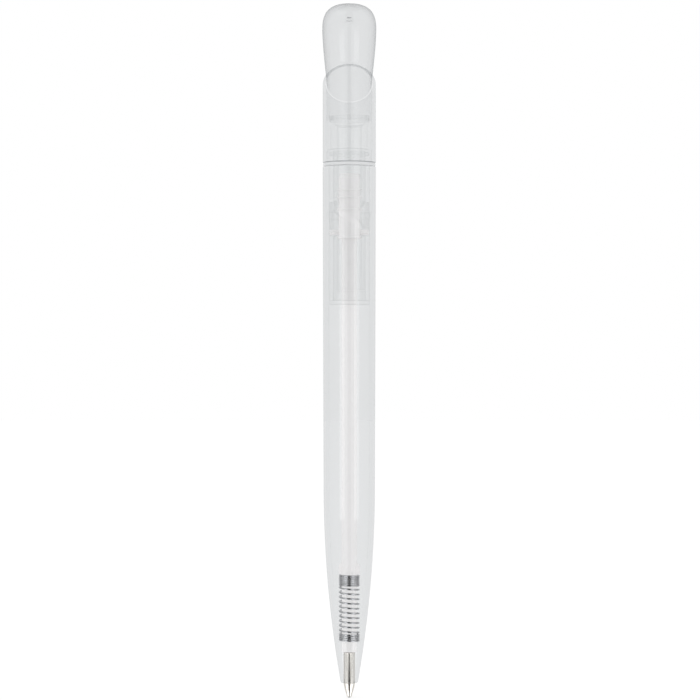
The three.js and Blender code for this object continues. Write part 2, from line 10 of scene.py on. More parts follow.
import bmesh
import bpy
from bpy.props import FloatProperty, FloatVectorProperty, IntProperty, PointerProperty
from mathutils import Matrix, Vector


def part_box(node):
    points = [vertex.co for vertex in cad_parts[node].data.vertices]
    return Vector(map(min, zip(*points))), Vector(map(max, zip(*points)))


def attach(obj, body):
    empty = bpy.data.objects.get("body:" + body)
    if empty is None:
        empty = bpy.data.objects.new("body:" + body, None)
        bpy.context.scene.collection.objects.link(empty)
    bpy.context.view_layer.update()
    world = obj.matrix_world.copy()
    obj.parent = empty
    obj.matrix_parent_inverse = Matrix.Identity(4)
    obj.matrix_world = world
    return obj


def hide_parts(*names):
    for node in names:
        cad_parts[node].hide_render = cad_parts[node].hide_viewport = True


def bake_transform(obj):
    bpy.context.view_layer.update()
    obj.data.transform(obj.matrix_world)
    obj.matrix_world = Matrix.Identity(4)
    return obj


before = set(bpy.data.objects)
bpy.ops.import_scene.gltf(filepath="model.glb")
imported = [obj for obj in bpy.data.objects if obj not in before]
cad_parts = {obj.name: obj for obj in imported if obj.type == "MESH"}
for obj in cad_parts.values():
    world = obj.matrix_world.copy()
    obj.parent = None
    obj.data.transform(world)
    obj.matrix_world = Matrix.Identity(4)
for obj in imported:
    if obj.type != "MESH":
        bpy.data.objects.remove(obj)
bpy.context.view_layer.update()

bl_info = {
    "name": "Clear twist-action ballpoint pen",
    "version": (1, 0, 0),
    "blender": (4, 5, 0),
    "location": "View3D > Sidebar > Pen",
    "description": "Builds the pen's turned pieces, its wound spring and its studio",
    "category": "Object",
}

FULL_TURN = 2 * math.pi
MILLIMETRES = 1000  # in a metre
SHARP_ANGLE = math.radians(32)  # edges sharper than this stay sharp
LAMP_TINT = (0.98, 0.98, 0.98)  # of lamp light that passes clear plastic and the spring

# Fixed sizes, in metres where nothing else is said

SMALL_EDGE = 0.00012  # rounding of the ring and of the carrier's ribs
FACE_GAP = 0.00005  # between faces that rest on each other
PRESS_GAP = 0.00004  # round a plug that is pressed in
CUT_MARGIN = 0.0003  # how far a cutter reaches past a wall, or a lug into it
LIP_ROUNDS = 12  # repeats that settle where the crown meets the seam
CROWN_TAPER_POWER = 1.5
LUG_BEARINGS = range(-90, 270, 60)  # of the drive's lugs and the crown's notches, in degrees
NOTCH_WIDTH, NOTCH_REACH, NOTCH_TOP = 0.0013, 0.0056, 0.1202
DRIVE_HEAD_HEIGHT, CASTLE_WALL = 0.0054, 0.00065
DRIVE_LUG_WIDTH, DRIVE_LUG_HEIGHT, DRIVE_LUG_REACH = 0.0009, 0.00105, 0.0046
NOSE_EDGE = 0.0003
BEAD_SWELL, BEAD_HALF = 0.00025, 0.0006  # snap bead
GROOVE_HALF, GROOVE_FLOOR_HALF = 0.0008, 0.00055  # groove round the bead
RING_INSET = 0.00005  # of the centre ring inside the barrels' outline
POCKET_ROOM, POCKET_DEPTH = 0.0008, 0.0012  # for the brake ring in the sleeve's collar
END_CAP_ROOM, END_CAP_FLANGE = 0.0002, 0.0009
SPRING_RADIUS = 0.0022  # outside
SPRING_START = math.radians(60)
OPEN_COILS = 10.0
CLOSE_PITCH = 1.04  # of the closed coils, in wire diameters
COIL_STEPS = 40  # points along one turn
COIL_EASING = (-0.12, -0.06, 0, 0.06, 0.12)  # turns over which the pitch changes
WIRE_END = 0.6  # share of the radius at a wire's ends
EAR_FOOT, EAR_TOP, EAR_HALF_WIDTH = 0.0256, 0.0278, 0.00042
TUBE_EDGE, TUBE_BELOW_EARS, TUBE_ABOVE_EARS = 0.00008, 0.0180, 0.0285
CARRIER_RADIUS, CARRIER_EDGE, CARRIER_ROOF, CARRIER_FOOT_HEIGHT = 0.0022, 0.0003, 0.0013, 0.0006
RIB_RADIUS, RIB_HEIGHT, RIB_DROPS = 0.0025, 0.0005, (0.0071, 0.0046, 0.0031)
VENT_RADIUS = 0.0004
LUG_ROOT, LUG_SIDES = 0.0019, 32
CONE_TIP_RADIUS, CONE_FOOT, CONE_HEIGHT, CONE_BULGE = 0.00057, 0.0006, 0.0023, 0.00007
SHOULDER, SHOULDER_CORNER = 0.0094, 0.00019  # top of the nib's shank
FLOOR_HEIGHT, FLOOR_SIDES, FLOOR_RADII = -0.00002, 64, (0.05, 0.2, 0.6, 2.0)
FADE_FOOT, FADE_TOP = 0.125, 0.205  # heights between which the tall lamps fade
CARD_ABOVE_HEIGHT, CARD_ABOVE_SHADE = 1.2, (0.1, 0.1, 0.1)


# Settings


def size(name, description, default, unit="LENGTH"):
    return FloatProperty(
        name=name, description=description, default=default, min=0, unit=unit, precision=5
    )


def colour(name, description, default):
    return FloatVectorProperty(
        name=name, description=description, default=default, size=3, min=0, max=1, subtype="COLOR"
    )


class PenSizes(bpy.types.PropertyGroup):
    """Sizes of the pen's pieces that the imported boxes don't give."""

    sides: IntProperty(name="Sides", description="Facets round a turned piece", default=128, min=24)
    edge: size("Edge", "Rounding of the clear pieces' edges", 0.00012)
    ring_edge: size("Ring joint edge", "Chamfer of both barrels at the ring joint", 0.0002)
    seam_edge: size("Seam edge", "Chamfer of both faces of the slanted seam", 0.00018)
    barrel_wall: size("Barrel wall", "Wall of the lower barrel", 0.00105)
    taper_length: size("Taper length", "Length of the lower barrel's curved nose", 0.040)
    taper_top_radius: size("Taper top radius", "Radius where the curved nose begins", 0.005305)
    nose_radius: size("Nose radius", "Radius of the nose's end", 0.00177)
    nib_bore: size("Nib bore", "Radius of the nose bore round the nib", 0.0013)
    tube_bore: size("Tube bore", "Radius of the nose bore round the refill tube", 0.00165)
    bore_step: size("Bore step", "Height where the nose bore widens", 0.0087)
    spring_seat: size("Spring seat", "Height of the ledge under the spring", 0.0114)
    spring_room: size("Spring room", "Radius of the bore at the spring", 0.00245)
    sleeve_bore: size("Sleeve bore", "Radius of the lower barrel's bore round the sleeve", 0.0044)
    bead_height: size("Bead height", "Height of the snap bead's middle", 0.0996)
    upper_bore: size("Upper bore", "Radius of the upper barrel's bore", 0.00475)
    seam_height: size("Seam height", "Height of the slanted seam's middle", 0.12685)
    seam_slope: size("Seam slope", "Slope of the seam", math.radians(34), "ROTATION")
    seam_gap: size("Seam gap", "Gap across the seam", 0.0003)
    crown_neck: size("Crown neck", "Radius of the crown's spigot", 0.00471)
    crown_bore: size("Crown bore", "Radius of the crown's hollow", 0.00418)
    crown_taper: size("Crown taper", "How fast the crown narrows downwards", 0.027, "NONE")
    dome_height: size("Dome height", "Height of the crown's dome", 0.0054)
    dome_power: size("Dome power", "Squareness of the dome", 2.7, "NONE")
    roof: size("Roof", "Height of the hollow's roof", 0.1397)
    roof_corner: size("Roof corner", "Rounding of the hollow's roof", 0.0014)
    dimple_radius: size("Dimple radius", "Radius of the mark in the roof", 0.000525)
    dimple_top: size("Dimple top", "Height of the mark's end", 0.14047)
    sleeve_inside: size("Sleeve inside", "Radius of the guide sleeve's bore", 0.0034)
    sleeve_outside: size("Sleeve outside", "Radius of the guide sleeve below the joint", 0.00425)
    drive_inside: size("Drive inside", "Radius of the spiral drive's bore", 0.0026)
    drive_outside: size("Drive outside", "Radius of the spiral drive's tube", 0.0033)
    drive_head: size("Drive head", "Radius of the spiral drive's head", 0.00395)
    lug_height: size("Lug height", "Height of the carrier's lugs with the point out", 0.09605)
    lug_radius: size("Lug radius", "Radius of the carrier's lugs", 0.00055)
    lug_play: size("Lug play", "Play of a lug in its slot", 0.0002)
    stroke: size("Stroke", "How far the refill goes back", 0.0055)
    tube_radius: size("Refill radius", "Outer radius of the refill tube", 0.00155)
    tube_inside: size("Refill bore", "Inner radius of the refill tube", 0.00105)
    wire: size("Wire", "Diameter of the spring's wire", 0.00038)
    coil_pitch: size("Coil pitch", "Pitch of the spring's open coils", 0.00098)
    closed_below: size("Closed coils below", "Closed coils at the spring's foot", 4.0, "NONE")


class PenColours(bpy.types.PropertyGroup):
    """Colours of the pen's finishes."""

    # Painted shade: these tints darken what is seen through each face, while lamp light passes with only
    # LAMP_TINT, standing in for the darker surroundings that refracting plastic shows.
    clear: colour("Clear plastic", "Tint of light through one outer face", (0.856, 0.862, 0.866))
    inner: colour("Inner plastic", "Tint of light through one inner face", (0.989, 0.990, 0.990))
    spigot: colour("Spigot", "Tint of light through the crown's spigot", (0.968, 0.970, 0.971))
    none: colour("No tint", "Light through a face that doesn't tint", (1.0, 1.0, 1.0))
    # Painted shade that clear faces take on towards grazing angles.
    rim: colour("Rim", "Shade of the clear plastic seen along its surface", (0.50, 0.51, 0.52))
    # Painted shade of the lines on cut edges, and of the crown towards grazing angles.
    line: colour("Line", "Shade of the clear plastic's cut edges", (0.30, 0.31, 0.32))
    white: colour("White plastic", "Refill tube and carrier", (0.97, 0.955, 0.955))
    pale: colour("Pale plastic", "Centre ring", (0.71, 0.72, 0.73))
    rubber: colour("Silicone", "Brake ring", (0.80, 0.80, 0.81))
    steel: colour("Steel", "Return spring", (0.60, 0.605, 0.62))
    nickel: colour("Nickel silver", "Nib", (0.87, 0.835, 0.785))
    ball: colour("Hard metal", "Writing ball", (0.12, 0.12, 0.13))
    ink: colour("Ink", "Ink column", (0.010, 0.014, 0.075))
    grease: colour("Grease", "Grease follower", (0.70, 0.62, 0.38))


class PenStudio(bpy.types.PropertyGroup):
    """The camera and the light."""

    distance: size("Camera distance", "From the pen's axis to the camera", 0.51)
    height: size("Camera height", "Height of the camera", 0.07175)
    aside: size("Camera aside", "How far the camera stands to the right", 0.00015)
    lens: size("Lens", "Focal length in millimetres", 127.0, "NONE")
    room: size("Room light", "Strength of the plain light from all round", 1.0, "NONE")
    panel_away: size("Panel distance", "From the pen's axis to the cards and the tall lamps", 0.62)
    key: size("Key light", "Power of the soft lamp above", 0.35, "POWER")


# Finishes


class Signal:
    """A socket that a finish can calculate with."""

    def __init__(self, finish, socket):
        self.finish = finish
        self.socket = socket

    def _maths(self, operation, first, second):
        return self.finish.add("ShaderNodeMath", {"operation": operation}, {0: first, 1: second})

    def __add__(self, other):
        return self._maths("ADD", self, other)

    def __radd__(self, other):
        return self._maths("ADD", other, self)

    def __sub__(self, other):
        return self._maths("SUBTRACT", self, other)

    def __rsub__(self, other):
        return self._maths("SUBTRACT", other, self)

    def __mul__(self, other):
        return self._maths("MULTIPLY", self, other)

    def __rmul__(self, other):
        return self._maths("MULTIPLY", other, self)

    def __pow__(self, other):
        return self._maths("POWER", self, other)

    def __rpow__(self, other):
        return self._maths("POWER", other, self)


class Finish:
    """A material that is built up node by node."""

    def __init__(self, name, tree=None):
        if tree is None:
            self.material = bpy.data.materials.new(name)
            self.material.use_nodes = True
            tree = self.material.node_tree
        self.tree = tree
        self.tree.nodes.clear()

    def add(self, kind, settings=None, sockets=None, output=0):
        """One node: its settings first, then values or links for its sockets. Returns one output."""
        node = self.tree.nodes.new(kind)
        for name, value in (settings or {}).items():
            setattr(node, name, value)
        for key, value in (sockets or {}).items():
            if isinstance(value, Signal):
                self.tree.links.new(value.socket, node.inputs[key])
            elif hasattr(value, "__len__") and len(value) == 3 and node.inputs[key].type == "RGBA":
                node.inputs[key].default_value = (*value, 1)
            else:
                node.inputs[key].default_value = value
        return Signal(self, node.outputs[output]) if node.outputs else None

    def place(self, stretch=(1, 1, 1)):
        """Position on the piece, stretched along its axes."""
        where = self.add("ShaderNodeTexCoord", output="Object")
        return self.add("ShaderNodeMapping", {}, {"Vector": where, "Scale": stretch})

    def noise(self, scale, detail, stretch=(1, 1, 1)):
        """Smooth noise from 0 to 1, with so many lumps a metre."""
        looks = {"Vector": self.place(stretch), "Scale": scale, "Detail": detail}
        return self.add("ShaderNodeTexNoise", {"noise_dimensions": "3D"}, looks)

    def blend(self, share, first, second):
        """A colour between two colours."""
        return self.add("ShaderNodeMix", {"data_type": "RGBA"}, {0: share, 6: first, 7: second}, output=2)

    def bump(self, height, depth, strength):
        return self.add("ShaderNodeBump", {}, {"Height": height, "Distance": depth, "Strength": strength})

    def seen_straight(self):
        """1 for what the camera sees, also by a mirror or through glass, and 0 for light."""
        straight, mirrored, through = [
            self.add("ShaderNodeLightPath", output=f"Is {kind} Ray")
            for kind in ("Camera", "Glossy", "Transmission")
        ]
        return straight + mirrored + through

    def away(self):
        """1 on faces that look away from the eye, and 0 on near ones."""
        return self.add("ShaderNodeNewGeometry", output="Backfacing")

    def see_through(self, tint):
        return self.add("ShaderNodeBsdfTransparent", {}, {"Color": tint})

    def over(self, share, under, cover):
        """One shader over another."""
        return self.add("ShaderNodeMixShader", {}, {0: share, 1: under, 2: cover})

    def done(self, shader):
        self.add("ShaderNodeOutputMaterial", {}, {"Surface": shader})
        return self.material


def dimmed(shade, share):
    """The colour at this share of its brightness."""
    return tuple(share * part for part in shade)


def lamps_pass(finish, shader):
    """The shader, but light on its way to what lies behind passes with only a faint tint."""
    to_lamp = finish.add("ShaderNodeLightPath", output="Is Shadow Ray")
    spread_out = finish.add("ShaderNodeLightPath", output="Is Diffuse Ray")
    return finish.over(to_lamp + spread_out, shader, finish.see_through(LAMP_TINT))


def clear_plastic(name, tint, rim, edge_shade=0.05, power=3.0, shine=0.02, gloss=0.1):
    """Clear moulded plastic: tinted see-through faces with painted shade that greys them towards grazing
    angles, under a gloss.
    """
    finish = Finish(name)
    away = finish.away()
    aslant = finish.add("ShaderNodeLayerWeight", {}, {"Blend": 0.5}, "Facing")
    flow = finish.noise(420, 3, (1, 1, 0.16))
    ripple = finish.bump(flow, 0.000012, 0.5)
    through = finish.see_through(tint)
    shaded = finish.blend(flow, rim, dimmed(rim, 0.94))
    body = finish.add("ShaderNodeBsdfPrincipled", {}, {"Base Color": shaded, "Roughness": 0.35})
    polish = {"Color": (1, 1, 1), "Roughness": 0.03, "Normal": ripple}
    mirror = finish.add("ShaderNodeBsdfGlossy", {}, polish)
    # Painted shade: the grey body grows towards grazing angles, standing in for the darker surroundings the
    # plastic refracts at its edges.
    seen = finish.over(edge_shade * aslant ** power, through, body)
    glossy = finish.over((shine + gloss * aslant ** 5) * (1 - away), seen, mirror)
    return finish.done(lamps_pass(finish, glossy))


def cut_edge(name, tint, shade, share):
    """A painted dark line of shade that a cut edge of clear plastic shows on its near side."""
    finish = Finish(name)
    away = finish.away()
    shade_patches = finish.noise(900, 2)
    through = finish.see_through(tint)
    shaded = finish.blend(shade_patches, shade, dimmed(shade, 1.12))
    body = finish.add("ShaderNodeBsdfPrincipled", {}, {"Base Color": shaded, "Roughness": 0.3})
    # Painted shade on the near faces only, patchy along the edge.
    line = finish.over(share * (0.7 + 0.6 * shade_patches) * (1 - away), through, body)
    return finish.done(lamps_pass(finish, line))


def pale_plastic(name, tint, base, cover=0.9):
    """Pale plastic that hides what is behind its near side, and lets the far side be seen through."""
    finish = Finish(name)
    away = finish.away()
    flow = finish.noise(700, 4, (1, 1, 0.3))
    through = finish.see_through(tint)
    shaded = finish.blend(flow, base, dimmed(base, 0.96))
    body = finish.add("ShaderNodeBsdfPrincipled", {}, {"Base Color": shaded, "Roughness": 0.3 + 0.1 * flow})
    return finish.done(lamps_pass(finish, finish.over(cover * (1 - away), through, body)))


def moulded_plastic(name, base, roughness=0.5, flecks=0.03):
    """Opaque moulded plastic with faint flow lines along the piece."""
    finish = Finish(name)
    flow = finish.noise(500, 4, (1, 1, 0.12))
    grain = finish.noise(9000, 2)
    looks = {
        "Base Color": finish.blend(flow, dimmed(base, 1 - flecks), base),
        "Roughness": roughness + 0.12 * grain,
        "Normal": finish.bump(grain, 0.000006, 0.4),
        "IOR": 1.3,
    }
    return finish.done(finish.add("ShaderNodeBsdfPrincipled", {}, looks))


def worked_metal(finish, base, dulled, stain, marks, roughness, depth):
    """Metal whose tool marks raise it, and whose stain dulls it to a share of its brightness."""
    looks = {
        "Base Color": finish.blend(stain, dimmed(base, dulled), base),
        "Metallic": 1.0,
        "Roughness": roughness,
        "Normal": finish.bump(marks, depth, 0.5),
    }
    return finish.add("ShaderNodeBsdfPrincipled", {}, looks)


def turned_metal(name, base, roughness, lines=3200.0, depth=0.000004):
    """Metal turned on a lathe, with fine rings across its axis."""
    finish = Finish(name)
    rings = finish.noise(lines, 2, (0.02, 0.02, 1))
    stain = finish.noise(700, 4)
    return finish.done(worked_metal(finish, base, 0.88, stain, rings, roughness + 0.1 * rings, depth))


def drawn_wire(name, base):
    """Bright drawn steel wire with die lines and a slightly dulled skin."""
    finish = Finish(name)
    lines = finish.noise(5200, 3, (1, 1, 2.5))
    dull = finish.noise(900, 4)
    body = worked_metal(finish, base, 0.7, dull, lines, 0.05 + 0.06 * lines, 0.000003)
    return finish.done(lamps_pass(finish, body))


FINISHES = {
    # name: how it is made, its colours, its settings
    "barrel_face": (
        clear_plastic, ("clear", "rim"), {"edge_shade": 0.34, "power": 5, "shine": 0.045, "gloss": 0.25}
    ),
    "crown_face": (clear_plastic, ("clear", "line"), {"edge_shade": 1.0, "power": 4, "shine": 0.03}),
    "bore_face": (clear_plastic, ("none", "rim"), {"edge_shade": 0.03, "shine": 0.015, "gloss": 0.05}),
    "mechanism_face": (clear_plastic, ("inner", "rim"), {"edge_shade": 0.06, "shine": 0.006, "gloss": 0.03}),
    "brake_skin": (clear_plastic, ("inner", "rubber"), {"edge_shade": 0.12, "shine": 0.006, "gloss": 0.03}),
    # The *_line finishes paint dark lines of shade on cut edges, joints, the seam gap, the roof's mark and
    # the bores.
    "cut_line": (cut_edge, ("clear", "line"), {"share": 0.60}),
    "joint_line": (cut_edge, ("clear", "line"), {"share": 0.85}),
    "spigot_face": (clear_plastic, ("spigot", "rim"), {"edge_shade": 0.03, "shine": 0.006, "gloss": 0.03}),
    "gap_line": (cut_edge, ("clear", "line"), {"share": 0.12}),
    "mark_line": (cut_edge, ("none", "line"), {"share": 0.60}),
    "bore_line": (cut_edge, ("none", "line"), {"share": 0.06}),
    "mechanism_line": (cut_edge, ("inner", "line"), {"share": 0.10}),
    "ring_face": (pale_plastic, ("clear", "pale"), {}),
    "white_tube": (moulded_plastic, ("white",), {}),
    "drawn_steel": (drawn_wire, ("steel",), {}),
    "turned_nickel": (turned_metal, ("nickel",), {"roughness": 0.16}),
    "ball_metal": (turned_metal, ("ball",), {"roughness": 0.12, "lines": 1500, "depth": 0.000001}),
    "ink_fill": (moulded_plastic, ("ink",), {"roughness": 0.2, "flecks": 0.2}),
    "grease_fill": (moulded_plastic, ("grease",), {"roughness": 0.25, "flecks": 0.1}),
}


def finish_named(name):
    """The finish of this name, made when it is first asked for."""
    if name in bpy.data.materials:
        return bpy.data.materials[name]
    maker, colours, settings = FINISHES[name]
    shades = bpy.context.scene.pen_colours
    return maker(name, *[getattr(shades, shade)[:] for shade in colours], **settings)


# Shapes


def at(value, bearing):
    """A number, or what a function gives at a bearing."""
    return value(bearing) if callable(value) else value


def turned(name, rows, coats, sides=None):
    """A piece turned from rows of radius, height and the coat of the faces up to the next row.

    The profile closes on itself unless it starts and ends on the axis. A radius or height may be a
    function of the bearing.
    """
    sides = sides or bpy.context.scene.pen_sizes.sides
    build = bmesh.new()
    rings = []
    for radius, height, _ in rows:
        if not callable(radius) and radius == 0:
            rings.append([build.verts.new((0, 0, at(height, 0)))])
            continue
        ring = []
        for side in range(sides):
            bearing = FULL_TURN * side / sides
            reach = at(radius, bearing)
            ring.append(
                build.verts.new((reach * math.cos(bearing), reach * math.sin(bearing), at(height, bearing)))
            )
        rings.append(ring)
    closed = len(rings[0]) > 1 or len(rings[-1]) > 1
    for row in range(len(rings) if closed else len(rings) - 1):
        low, high = rings[row], rings[(row + 1) % len(rings)]
        for side in range(sides):
            near, far = side, (side + 1) % sides
            corners = list(dict.fromkeys([
                low[near % len(low)], low[far % len(low)], high[far % len(high)], high[near % len(high)]
            ]))
            if len(corners) > 2:
                build.faces.new(corners).material_index = rows[row][2]
    return finished(name, build, coats)


def finished(name, build, coats):
    """An object from a bmesh: faces turned outwards, coats put on, and smooth but for sharp edges."""
    bmesh.ops.recalc_face_normals(build, faces=build.faces)
    mesh = bpy.data.meshes.new(name)
    build.to_mesh(mesh)
    build.free()
    piece = bpy.data.objects.new(name, mesh)
    bpy.context.scene.collection.objects.link(piece)
    for coat in coats:
        mesh.materials.append(finish_named(coat))
    smoothed(piece)
    return piece


def smoothed(piece):
    piece.data.shade_smooth()
    piece.data.set_sharp_from_angle(angle=SHARP_ANGLE)


def combined(piece, others, operation):
    """The piece after cutting or adding other solids, which are used up."""
    for other in others:
        step = piece.modifiers.new("joined", "BOOLEAN")
        step.operation = operation
        step.solver = "EXACT"
        step.object = other
    bpy.context.view_layer.update()
    shaped = piece.evaluated_get(bpy.context.evaluated_depsgraph_get())
    mesh = bpy.data.meshes.new_from_object(shaped)
    piece.modifiers.clear()
    mesh.name = piece.name
    piece.data = mesh
    for other in others:
        bpy.data.objects.remove(other)
    smoothed(piece)
    return piece


def arc(centre_radius, centre_height, radius, start, end, count, coat):
    """Rows along an arc, from one angle to another in degrees, 0 pointing outwards and 90 upwards."""
    turns = [math.radians(angle) for angle in spread(start, end, count)]
    return [
        (centre_radius + radius * math.cos(turn), centre_height + radius * math.sin(turn), coat)
        for turn in turns
    ]


def rounded(radius, low, high, edge, count):
    """Rows up a round side from one height to another, with both edges rounded."""
    return [
        *arc(radius - edge, low + edge, edge, -90, 0, count, 0),
        *arc(radius - edge, high - edge, edge, 0, 90, count, 0),
    ]


def circle(build, radius, height, sides):
    """A ring of corners round the pen's axis."""
    turns = [FULL_TURN * side / sides for side in range(sides)]
    return [build.verts.new((radius * math.cos(turn), radius * math.sin(turn), height)) for turn in turns]


def skinned(build, rings, coat=0, closed=True, ends=True):
    """Faces between neighbouring rings of corners, and over both end rings."""
    count = len(rings[0])
    for low, high in zip(rings, rings[1:]):
        for side in range(count if closed else count - 1):
            following = (side + 1) % count
            corners = [low[side], low[following], high[following], high[side]]
            build.faces.new(corners).material_index = coat
    for ring in (rings[0], rings[-1]) if ends else ():
        build.faces.new(ring).material_index = coat


def radial_block(name, reach, width, heights, bearing, coats, coat):
    """A block from one radius and height to another at a bearing in degrees, as a cutter or a lug."""
    build = bmesh.new()
    along = Vector((math.cos(math.radians(bearing)), math.sin(math.radians(bearing)), 0))
    across = Vector((-along.y, along.x, 0))
    corners = [
        build.verts.new(along * reach[far] + across * side * width / 2 + Vector((0, 0, height)))
        for height in heights
        for far, side in ((0, -1), (1, -1), (1, 1), (0, 1))
    ]
    for face in ((0, 1, 2, 3), (4, 5, 6, 7), (0, 1, 5, 4), (1, 2, 6, 5), (2, 3, 7, 6), (3, 0, 4, 7)):
        build.faces.new([corners[corner] for corner in face]).material_index = coat
    return finished(name, build, coats)


def swept(name, line, radius, coats, sides=12):
    """A round wire along a line of points, with rounded ends."""
    build = bmesh.new()
    across = Vector((0, 0, 1)).cross(line[1] - line[0]).normalized()
    rings = []
    for step, point in enumerate(line):
        along = (line[min(step + 1, len(line) - 1)] - line[max(step - 1, 0)]).normalized()
        across = (across - along * across.dot(along)).normalized()
        up = along.cross(across)
        from_end = min(step, len(line) - 1 - step)
        reach = radius * (WIRE_END if from_end == 0 else 1.0)
        rings.append([
            build.verts.new(
                point
                + across * reach * math.cos(FULL_TURN * side / sides)
                + up * reach * math.sin(FULL_TURN * side / sides)
            )
            for side in range(sides)
        ])
    skinned(build, rings)
    return finished(name, build, coats)


def dress(piece, body, *nodes, slot):
    """The piece stands for its CAD nodes and moves with their body."""
    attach(piece, body)
    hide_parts(*nodes)


@functools.cache
def span(node):
    """The lowest height, the highest height and the greatest radius of a CAD node."""
    low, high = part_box(node)
    return low.z, high.z, high.x


def spread(start, end, count):
    return [start + (end - start) * step / count for step in range(count + 1)]


def seam_height(radius, side, bearing):
    """Height of the seam's upper (1) or lower (-1) face at a radius and bearing."""
    sizes = bpy.context.scene.pen_sizes
    half = sizes.seam_gap / 2 / math.cos(sizes.seam_slope)
    return sizes.seam_height + side * half - math.tan(sizes.seam_slope) * radius * math.sin(bearing)


def crown_radius(height):
    """Outer radius of the crown at a height below its widest place."""
    sizes = bpy.context.scene.pen_sizes
    _, top, radius = span("crown")
    drop = max(top - sizes.dome_height - height, 0) * MILLIMETRES
    return max(radius - sizes.crown_taper * drop ** CROWN_TAPER_POWER / MILLIMETRES, sizes.crown_neck)


def lip_radius(bearing):
    """Outer radius of the crown where it meets the seam."""
    reach = bpy.context.scene.pen_sizes.crown_neck
    for _ in range(LIP_ROUNDS):
        reach = crown_radius(seam_height(reach, 1, bearing))
    return reach


# The upper part


class PEN_OT_crown(bpy.types.Operator):
    """Turn the crown: domed end, hollow, spigot with six notches, and the upper face of the seam."""

    bl_idname = "pen.crown"
    bl_label = "Crown"

    def execute(self, context):
        sizes = context.scene.pen_sizes
        foot, top, radius = span("crown")
        widest = top - sizes.dome_height
        neck, bore, small, edge = sizes.crown_neck, sizes.crown_bore, sizes.edge, sizes.seam_edge

        def shelf(bearing):
            return max(lip_radius(bearing) - edge, neck)

        def side_row(share):
            def height(bearing):
                low = seam_height(lip_radius(bearing), 1, bearing) + edge
                return low + (widest - low) * share

            return (lambda bearing: crown_radius(height(bearing))), height, 0

        dome = []
        for turn in spread(90, 0, 40):
            turn = math.radians(turn)
            dome.append((
                radius * math.sin(turn) ** (2 / sizes.dome_power),
                widest + sizes.dome_height * math.cos(turn) ** (2 / sizes.dome_power),
                0,
            ))
        dome[-1] = (0, top, 0)
        coats = ["crown_face", "bore_face", "bore_line", "gap_line", "mark_line", "spigot_face"]
        bored, bore_edge, gap, mark, spigot = range(1, 6)
        outside = [
            (neck - small, foot, bore_edge),
            (neck, foot + small, spigot),
            (neck, lambda bearing: seam_height(neck, -1, bearing), gap),
            (neck, lambda bearing: seam_height(neck, 1, bearing), bored),
            (shelf, lambda bearing: seam_height(shelf(bearing), 1, bearing), 0),
            *[side_row(share) for share in spread(0, 1, 24)],
            *dome[1:],
        ]
        dimple, dimple_top = sizes.dimple_radius, sizes.dimple_top
        roof, corner = sizes.roof, sizes.roof_corner
        inside = [
            (0, dimple_top, mark),
            (dimple - 0.00012, dimple_top, mark),
            (dimple, dimple_top - 0.00018, bored),
            (dimple, roof + 0.00012, mark),
            (dimple + 0.00006, roof, bored),
            *arc(bore - corner, roof - corner, corner, 90, 0, 12, bored),
            (bore, foot + small, bore_edge),
            (bore + small, foot, bored),
        ]
        crown = turned("crown", [*outside, *inside], coats)
        reach, heights = (sizes.drive_head, NOTCH_REACH), (foot - 0.001, NOTCH_TOP)
        notches = [
            radial_block("notch", reach, NOTCH_WIDTH, heights, bearing, coats, bore_edge)
            for bearing in LUG_BEARINGS
        ]
        combined(crown, notches, "DIFFERENCE")
        dress(crown, "upper_part", "crown", slot="clear_body")
        return {"FINISHED"}


class PEN_OT_upper_barrel(bpy.types.Operator):
    """Turn the short upper barrel between the slanted seam and the ring joint."""

    bl_idname = "pen.upper_barrel"
    bl_label = "Upper barrel"

    def execute(self, context):
        sizes = context.scene.pen_sizes
        foot, _, radius = span("upper_barrel")
        bore, edge, seam = sizes.upper_bore, sizes.ring_edge, sizes.seam_edge
        inner = bore + sizes.edge

        def top(reach, drop=0.0):
            return lambda bearing: seam_height(reach, -1, bearing) - drop

        def under_lip(bearing):
            return min(max(lip_radius(bearing), inner + 0.00002), radius - seam - 0.00002)

        barrel = turned(
            "upper_barrel",
            [
                (inner, foot, 2),
                (radius - edge, foot, 4),
                (radius, foot + edge, 0),
                *[(radius, foot + edge + 0.002 * step, 0) for step in range(1, 5)],
                (radius, top(radius, seam), 1),
                (radius - seam, top(radius - seam), 0),
                (under_lip, lambda bearing: seam_height(under_lip(bearing), -1, bearing), 2),
                (inner, top(inner), 3),
                (bore, top(bore, sizes.edge), 2),
                (bore, foot + sizes.edge, 2),
            ],
            ["barrel_face", "cut_line", "bore_face", "bore_line", "joint_line"],
        )
        dress(barrel, "upper_part", "upper_barrel", slot="clear_body")
        return {"FINISHED"}


